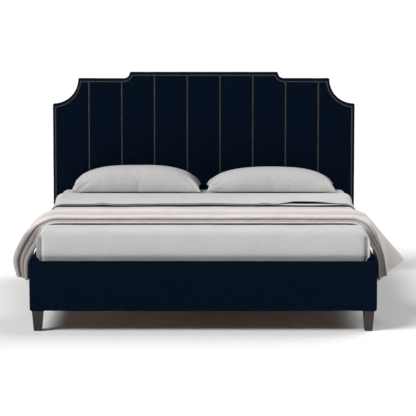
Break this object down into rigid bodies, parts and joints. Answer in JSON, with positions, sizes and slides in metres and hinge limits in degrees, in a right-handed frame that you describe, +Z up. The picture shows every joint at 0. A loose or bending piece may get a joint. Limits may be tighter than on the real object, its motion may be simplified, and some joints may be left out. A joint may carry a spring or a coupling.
{
  "type": "upholstered headboard bed",
  "caption": "Double bed with a tall notched headboard in nail-trimmed upright channels, padded rails, tapered wooden legs, a slatted base, mattress, sheets, pillows and a folded throw.",
  "frame": {"origin": "on the floor, under the middle of the bed", "axes": "+Z up, +Y from the foot end to the headboard, +X to the right seen from the foot end"},
  "size_m": [2.16, 2.17, 1.295],
  "materials": {
    "antique_nails": "aged, dull",
    "back_cloth": "black lining cloth",
    "black_plastic": "matte",
    "black_steel": "black, satin",
    "foam": "open-cell foam",
    "pillow_cotton": "plain-woven cotton",
    "pine": "planed, raw",
    "plywood": "raw",
    "spring_pockets": "non-woven pockets",
    "ticking": "knitted ticking over padding",
    "upholstery": "dark navy velvety woven cloth",
    "walnut": "dark stain, satin",
    "webbing": "woven tape",
    "white_cotton": "plain-woven cotton",
    "wool_throw": "soft brushed wool, pale pinkish beige",
    "zinc_steel": "zinc plated"
  },
  "bodies": {
    "frame": {"beam_brackets": "black_steel", "centre_beam": "pine", "centre_leg_inserts": "zinc_steel", "centre_legs": "pine", "corner_block_left": "pine", "corner_block_right": "pine", "corner_bolts": "zinc_steel", "foot_rail_board": "pine", "foot_rail_cover": "upholstery", "foot_rail_foam": "foam", "headboard_back_cover": "back_cloth", "headboard_bolts": "zinc_steel", "headboard_bottom_rail": "pine", "headboard_brackets": "black_steel", "headboard_channel_1": "upholstery", "headboard_channel_2": "upholstery", "headboard_channel_3": "upholstery", "headboard_channel_4": "upholstery", "headboard_channel_5": "upholstery", "headboard_channel_6": "upholstery", "headboard_channel_7": "upholstery", "headboard_channel_8": "upholstery", "headboard_channel_9": "upholstery", "headboard_edge_band": "upholstery", "headboard_face_board": "plywood", "headboard_lower_board": "plywood", "headboard_post_left": "pine", "headboard_post_right": "pine", "headboard_top_rail": "pine", "leg_back_left": "walnut", "leg_back_right": "walnut", "leg_bolts": "zinc_steel", "leg_front_left": "walnut", "leg_front_right": "walnut", "leg_glides": "black_plastic", "leg_plates": "black_steel", "nail_trim_border": "antique_nails", "nail_trim_seams": "antique_nails", "side_rail_board_left": "pine", "side_rail_board_right": "pine", "side_rail_cover_left": "upholstery", "side_rail_cover_right": "upholstery", "side_rail_foam_left": "foam", "side_rail_foam_right": "foam", "slat_ledger_left": "pine", "slat_ledger_right": "pine", "slat_webbing": "webbing", "slats": "pine"},
    "mattress": {"mattress_cover": "ticking", "mattress_pocket_springs": "spring_pockets", "fitted_sheet": "white_cotton", "top_sheet": "white_cotton"},
    "pillow_left": {"pillow_left": "pillow_cotton"},
    "pillow_right": {"pillow_right": "pillow_cotton"},
    "throw": {"throw_blanket": "wool_throw"},
    "foot_1": {"levelling_foot_pad_1": "black_plastic", "levelling_foot_stud_1": "zinc_steel"},
    "foot_2": {"levelling_foot_pad_2": "black_plastic", "levelling_foot_stud_2": "zinc_steel"}
  },
  "joints": [
    {"name": "mattress_lift", "type": "slide", "parent": "frame", "child": "mattress", "axis": [0, 0, 1], "range_m": [0, 0.3]},
    {"name": "throw_lift", "type": "slide", "parent": "mattress", "child": "throw", "axis": [0, 0, 1], "range_m": [0, 0.35]},
    {"name": "pillow_left_lift", "type": "slide", "parent": "mattress", "child": "pillow_left", "axis": [0, 0, 1], "range_m": [0, 0.25]},
    {"name": "pillow_right_lift", "type": "slide", "parent": "mattress", "child": "pillow_right", "axis": [0, 0, 1], "range_m": [0, 0.25]},
    {"name": "foot_1_rise", "type": "slide", "parent": "frame", "child": "foot_1", "axis": [0, 0, 1], "range_m": [0, 0.011]},
    {"name": "foot_2_rise", "type": "slide", "parent": "frame", "child": "foot_2", "axis": [0, 0, 1], "range_m": [0, 0.011]}
  ]
}
